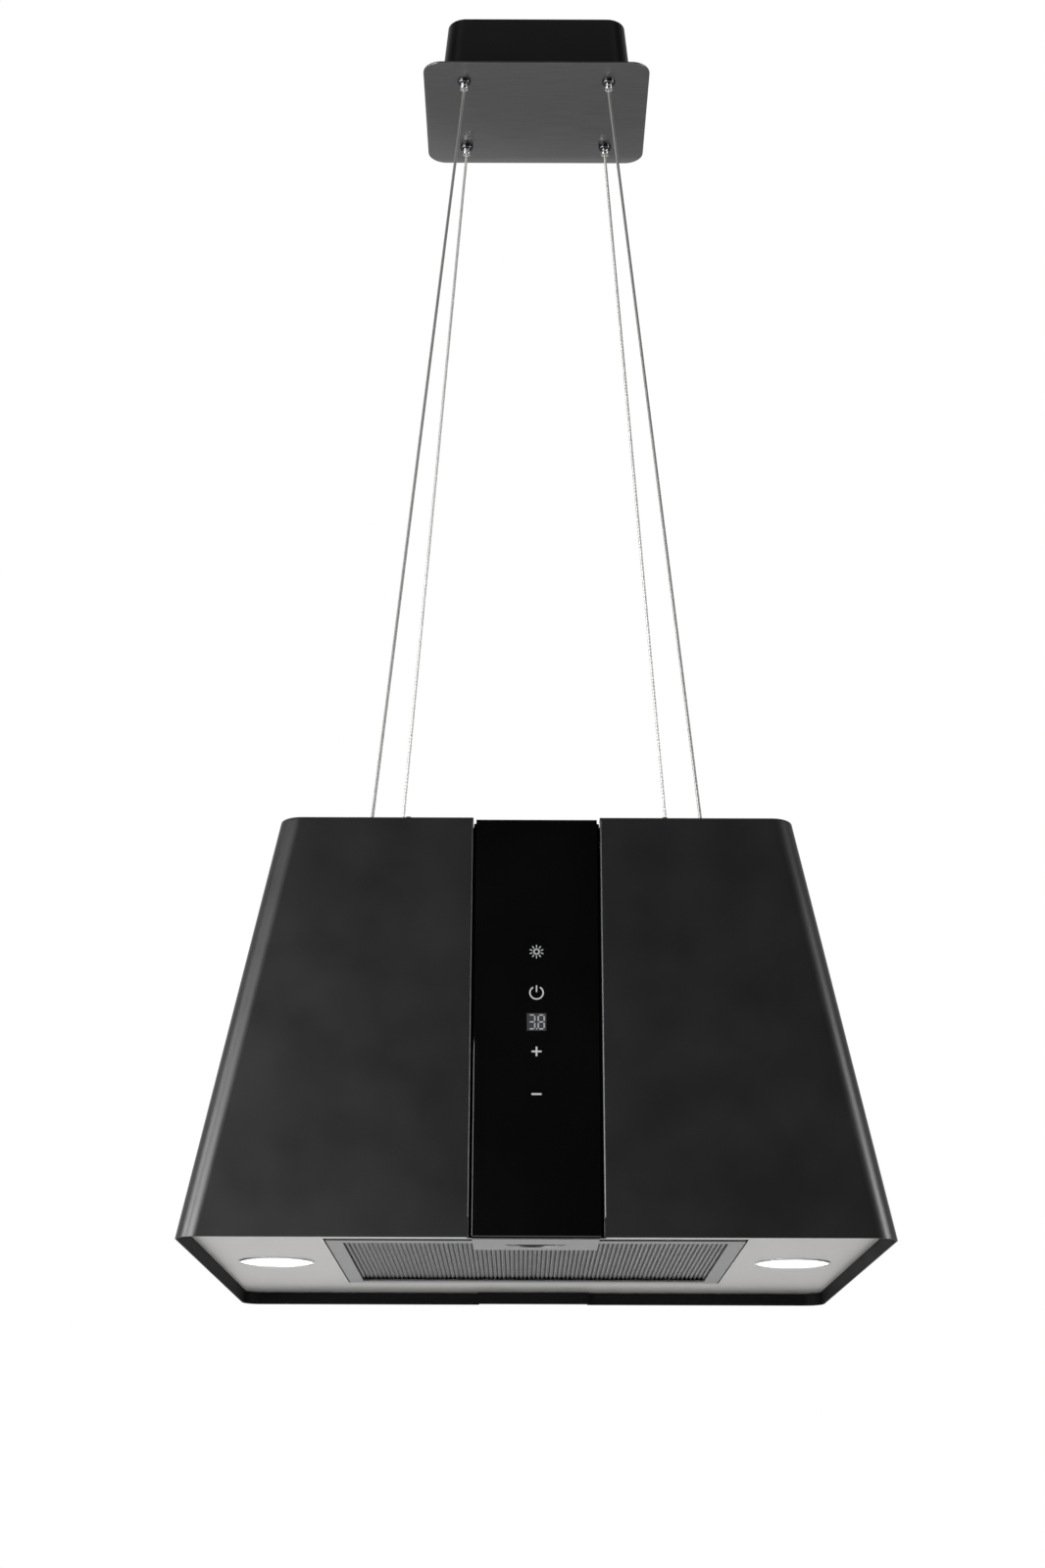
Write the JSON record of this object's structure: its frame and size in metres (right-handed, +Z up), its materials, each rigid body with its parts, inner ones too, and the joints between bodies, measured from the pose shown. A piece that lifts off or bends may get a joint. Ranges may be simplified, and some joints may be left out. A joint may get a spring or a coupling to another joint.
{
  "type": "island range hood",
  "caption": "Tapered black island range hood hung on thin steel wires from a ceiling canopy, with a glass control strip, a grease filter and round lamps underneath.",
  "frame": {"origin": "on the ceiling, at the centre of the ceiling bracket's four screw holes; the whole object hangs below it", "axes": "+Z up towards the ceiling, +X to the right and -Y towards a viewer who faces the touch controls"},
  "size_m": [0.6, 0.54, 1.32],
  "materials": {
    "zinc_steel": "zinc-plated pressed steel",
    "black_paint": "black powder-coated steel sheet, satin",
    "brushed_black": "black-tinted brushed stainless steel",
    "black_screw": "black zinc-plated screws",
    "black_rubber": "moulded black rubber",
    "white_plastic": "moulded white plastic",
    "dark_chrome": "dark chrome plating",
    "nickel": "bright nickel plating",
    "wire_rope": "stranded stainless steel rope",
    "black_plastic": "moulded black plastic",
    "black_glass": "toughened glass printed black on its back",
    "green_board": "circuit board with solder mask",
    "brass_spring": "plated spring wire",
    "brushed_steel": "brushed stainless steel",
    "chrome": "polished chrome",
    "frosted_lens": "opal diffuser, lit from behind",
    "cast_aluminium": "cast aluminium heat sink",
    "spring_steel": "bright spring steel",
    "filter_aluminium": "satin anodised aluminium sheet",
    "mesh_aluminium": "pleated expanded aluminium mesh",
    "blower_plastic": "moulded dark grey plastic",
    "motor_steel": "lacquered motor steel",
    "carbon_plastic": "black moulded cassette with carbon granules"
  },
  "bodies": {
    "hood": {"ceiling_bracket": "zinc_steel", "canopy_box": "black_paint", "canopy_plate": "brushed_black", "canopy_screws": "black_screw", "supply_grommet": "black_rubber", "terminal_block": "white_plastic", "wire_grippers": "dark_chrome", "gripper_nuts": "zinc_steel", "wire_front_left": "wire_rope", "wire_front_right": "wire_rope", "wire_rear_left": "wire_rope", "wire_rear_right": "wire_rope", "wire_anchors": "dark_chrome", "anchor_nuts": "zinc_steel", "wire_ends": "zinc_steel", "left_shell": "black_paint", "right_shell": "black_paint", "deck_plate": "black_paint", "deck_screws": "black_screw", "corner_posts": "zinc_steel", "post_nuts": "zinc_steel", "outlet_grille": "black_plastic", "front_glass": "black_glass", "rear_glass": "black_glass", "glass_tapes": "black_rubber", "front_channel": "black_paint", "rear_channel": "black_paint", "channel_screws": "zinc_steel", "control_board": "green_board", "display_module": "black_plastic", "touch_springs": "brass_spring", "bottom_panel": "brushed_steel", "lamp_rings": "chrome", "lamp_lenses": "frosted_lens", "lamp_heads": "cast_aluminium", "lamp_clips": "spring_steel", "led_driver": "white_plastic", "filter_catch": "spring_steel", "hinge_brackets": "zinc_steel", "left_blower_housing": "blower_plastic", "right_blower_housing": "blower_plastic", "blower_mounts": "black_rubber", "inlet_rings": "blower_plastic", "motor": "motor_steel", "motor_bracket": "zinc_steel", "power_box": "white_plastic", "power_box_lid": "white_plastic"},
    "filter": {"filter_frame": "filter_aluminium", "filter_mesh": "mesh_aluminium", "filter_pins": "spring_steel", "filter_handle": "filter_aluminium", "latch_spring": "spring_steel"},
    "latch": {"filter_latch": "black_plastic"},
    "impeller": {"impeller": "blower_plastic"},
    "carbon_left": {"left_carbon_filter": "carbon_plastic"},
    "carbon_right": {"right_carbon_filter": "carbon_plastic"},
    "tip_front_left": {"plunger_front_left": "nickel"},
    "tip_front_right": {"plunger_front_right": "nickel"},
    "tip_rear_left": {"plunger_rear_left": "nickel"},
    "tip_rear_right": {"plunger_rear_right": "nickel"}
  },
  "joints": [
    {"name": "filter_hinge", "type": "hinge", "parent": "hood", "child": "filter", "pos_m": [0, 0.165, -1.303], "axis": [1, 0, 0], "range_deg": [0, 75], "deforming": ["filter_catch"]},
    {"name": "latch_slide", "type": "slide", "parent": "filter", "child": "latch", "axis": [0, 1, 0], "range_m": [0, 0.01], "stiffness_N_per_m": 150, "springref_m": -0.004, "deforming": ["latch_spring"]},
    {"name": "impeller_spin", "type": "hinge", "parent": "hood", "child": "impeller", "pos_m": [0, 0.075, -1.13], "axis": [1, 0, 0], "continuous": true},
    {"name": "left_carbon_twist", "type": "hinge", "parent": "hood", "child": "carbon_left", "pos_m": [0, 0.075, -1.13], "axis": [1, 0, 0], "range_deg": [-20, 0]},
    {"name": "right_carbon_twist", "type": "hinge", "parent": "hood", "child": "carbon_right", "pos_m": [0, 0.075, -1.13], "axis": [1, 0, 0], "range_deg": [-20, 0]},
    {"name": "tip_front_left_press", "type": "slide", "parent": "hood", "child": "tip_front_left", "axis": [0, 0, 1], "range_m": [0, 0.002], "stiffness_N_per_m": 400, "springref_m": -0.002},
    {"name": "tip_front_right_press", "type": "slide", "parent": "hood", "child": "tip_front_right", "axis": [0, 0, 1], "range_m": [0, 0.002], "stiffness_N_per_m": 400, "springref_m": -0.002},
    {"name": "tip_rear_left_press", "type": "slide", "parent": "hood", "child": "tip_rear_left", "axis": [0, 0, 1], "range_m": [0, 0.002], "stiffness_N_per_m": 400, "springref_m": -0.002},
    {"name": "tip_rear_right_press", "type": "slide", "parent": "hood", "child": "tip_rear_right", "axis": [0, 0, 1], "range_m": [0, 0.002], "stiffness_N_per_m": 400, "springref_m": -0.002}
  ]
}
